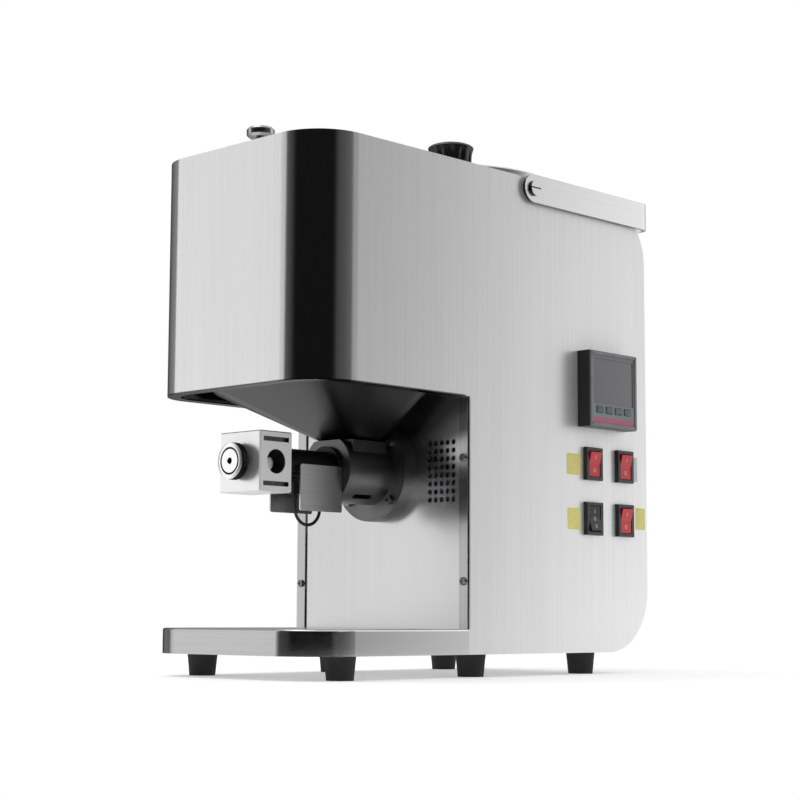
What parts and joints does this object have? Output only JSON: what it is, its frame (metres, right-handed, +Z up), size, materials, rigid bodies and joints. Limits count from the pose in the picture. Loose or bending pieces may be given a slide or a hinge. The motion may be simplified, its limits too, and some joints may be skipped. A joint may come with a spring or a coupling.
{
  "type": "screw oil press",
  "caption": "Table-top screw oil press: stainless C-shaped body with seed hopper, slotted cage and press screw, side controls, vacuum filter pot and carry handle.",
  "frame": {"origin": "on the floor under the middle of the whole press", "axes": "+Z up, -Y towards the front where the cake leaves, +X towards the control side"},
  "size_m": [0.2446, 0.448, 0.511],
  "materials": {
    "stainless_sheet": "brushed",
    "machined_steel": "machined",
    "dark_steel": "blackened",
    "aluminium": "satin",
    "knob_metal": "polished",
    "black_rubber": "matte",
    "black_plastic": "satin",
    "red_plastic": "gloss",
    "grey_plastic": "satin",
    "tinted_window": "gloss",
    "painted_steel": "satin"
  },
  "bodies": {
    "frame": {"outer_wrap": "stainless_sheet", "top_plate": "stainless_sheet", "rear_cover": "stainless_sheet", "bottom_plate": "stainless_sheet", "base_tray": "stainless_sheet", "column_panel": "stainless_sheet", "hopper": "stainless_sheet", "hopper_funnel": "stainless_sheet", "filter_pot": "stainless_sheet", "filter_plate": "stainless_sheet", "oil_guards": "stainless_sheet", "pump_shelf": "stainless_sheet", "lid_hinges": "stainless_sheet", "feed_housing": "machined_steel", "gear_bearings": "machined_steel", "handle_pivots": "machined_steel", "flange_bolts": "machined_steel", "panel_screws": "machined_steel", "foot_screws": "machined_steel", "press_cage": "dark_steel", "probe_fittings": "dark_steel", "motor_stator": "dark_steel", "end_block": "aluminium", "gearbox_case": "aluminium", "gearbox_cover": "aluminium", "motor_bell_cap": "aluminium", "rubber_feet": "black_rubber", "vacuum_hose": "black_rubber", "controller_case": "black_plastic", "switch_housings": "black_plastic", "mains_inlet": "black_plastic", "probe_lead": "black_plastic", "controller_window": "tinted_window", "motor_case": "painted_steel", "motor_cradles": "painted_steel", "vacuum_pump": "painted_steel"},
    "screw": {"press_screw": "machined_steel", "output_shaft": "machined_steel", "output_wheel": "machined_steel"},
    "idler": {"idler_wheel": "machined_steel", "idler_shaft": "machined_steel"},
    "rotor": {"motor_rotor": "machined_steel", "motor_pinion": "machined_steel", "cooling_fan": "black_plastic"},
    "cone": {"choke_cone": "machined_steel"},
    "adjuster": {"adjuster_knob": "knob_metal"},
    "hopper_cover": {"hopper_lid": "stainless_sheet", "lid_knob": "knob_metal"},
    "filter_cover": {"filter_lid": "stainless_sheet", "filter_knob": "black_plastic", "lid_gasket": "black_rubber"},
    "handle": {"carry_handle": "stainless_sheet"},
    "set_key": {"set_key": "grey_plastic"},
    "shift_key": {"shift_key": "grey_plastic"},
    "down_key": {"down_key": "grey_plastic"},
    "up_key": {"up_key": "grey_plastic"},
    "heat_rocker": {"heat_rocker": "red_plastic"},
    "pump_rocker": {"pump_rocker": "red_plastic"},
    "direction_rocker": {"direction_rocker": "black_plastic"},
    "press_rocker": {"press_rocker": "red_plastic"}
  },
  "joints": [
    {"name": "screw_spin", "type": "hinge", "parent": "frame", "child": "screw", "pos_m": [-0.0044, -0.038, 0.1835], "axis": [0, 1, 0], "continuous": true},
    {"name": "idler_spin", "type": "hinge", "parent": "frame", "child": "idler", "pos_m": [-0.0044, -0.038, 0.13537], "axis": [0, 1, 0], "continuous": true},
    {"name": "motor_spin", "type": "hinge", "parent": "frame", "child": "rotor", "pos_m": [-0.0044, -0.038, 0.08725], "axis": [0, 1, 0], "continuous": true},
    {"name": "cone_slide", "type": "slide", "parent": "frame", "child": "cone", "axis": [0, 1, 0], "range_m": [-0.0015, 0.0015]},
    {"name": "knob_turn", "type": "hinge", "parent": "cone", "child": "adjuster", "pos_m": [-0.0044, -0.038, 0.1835], "axis": [0, 1, 0], "range_deg": [-361, 361]},
    {"name": "hopper_lid_hinge", "type": "hinge", "parent": "frame", "child": "hopper_cover", "pos_m": [-0.0044, -0.0469, 0.4622], "axis": [-1, 0, 0], "range_deg": [0, 90]},
    {"name": "filter_lid_lift", "type": "slide", "parent": "frame", "child": "filter_cover", "axis": [0, 0, 1], "range_m": [0, 0.08]},
    {"name": "handle_swing", "type": "hinge", "parent": "frame", "child": "handle", "pos_m": [-0.0044, 0.0463, 0.447], "axis": [1, 0, 0], "range_deg": [-5, 95]},
    {"name": "set_key_press", "type": "slide", "parent": "frame", "child": "set_key", "axis": [-1, 0, 0], "range_m": [0, 0.0006], "stiffness_N_per_m": 800},
    {"name": "shift_key_press", "type": "slide", "parent": "frame", "child": "shift_key", "axis": [-1, 0, 0], "range_m": [0, 0.0006], "stiffness_N_per_m": 800},
    {"name": "down_key_press", "type": "slide", "parent": "frame", "child": "down_key", "axis": [-1, 0, 0], "range_m": [0, 0.0006], "stiffness_N_per_m": 800},
    {"name": "up_key_press", "type": "slide", "parent": "frame", "child": "up_key", "axis": [-1, 0, 0], "range_m": [0, 0.0006], "stiffness_N_per_m": 800},
    {"name": "heat_rocker_tip", "type": "hinge", "parent": "frame", "child": "heat_rocker", "pos_m": [0.1081, 0.1335, 0.1965], "axis": [0, 1, 0], "range_deg": [-14, 0]},
    {"name": "pump_rocker_tip", "type": "hinge", "parent": "frame", "child": "pump_rocker", "pos_m": [0.1081, 0.1815, 0.1965], "axis": [0, 1, 0], "range_deg": [-14, 0]},
    {"name": "direction_rocker_tip", "type": "hinge", "parent": "frame", "child": "direction_rocker", "pos_m": [0.1081, 0.1335, 0.1448], "axis": [0, 1, 0], "range_deg": [0, 14]},
    {"name": "press_rocker_tip", "type": "hinge", "parent": "frame", "child": "press_rocker", "pos_m": [0.1081, 0.1815, 0.1448], "axis": [0, 1, 0], "range_deg": [-14, 0]}
  ],
  "couplings": [
    {"joint": "idler_spin", "follows": "screw_spin", "ratio": -3.5294},
    {"joint": "motor_spin", "follows": "screw_spin", "ratio": 12.457},
    {"joint": "knob_turn", "follows": "cone_slide", "rad_per_m": 4188.8}
  ]
}
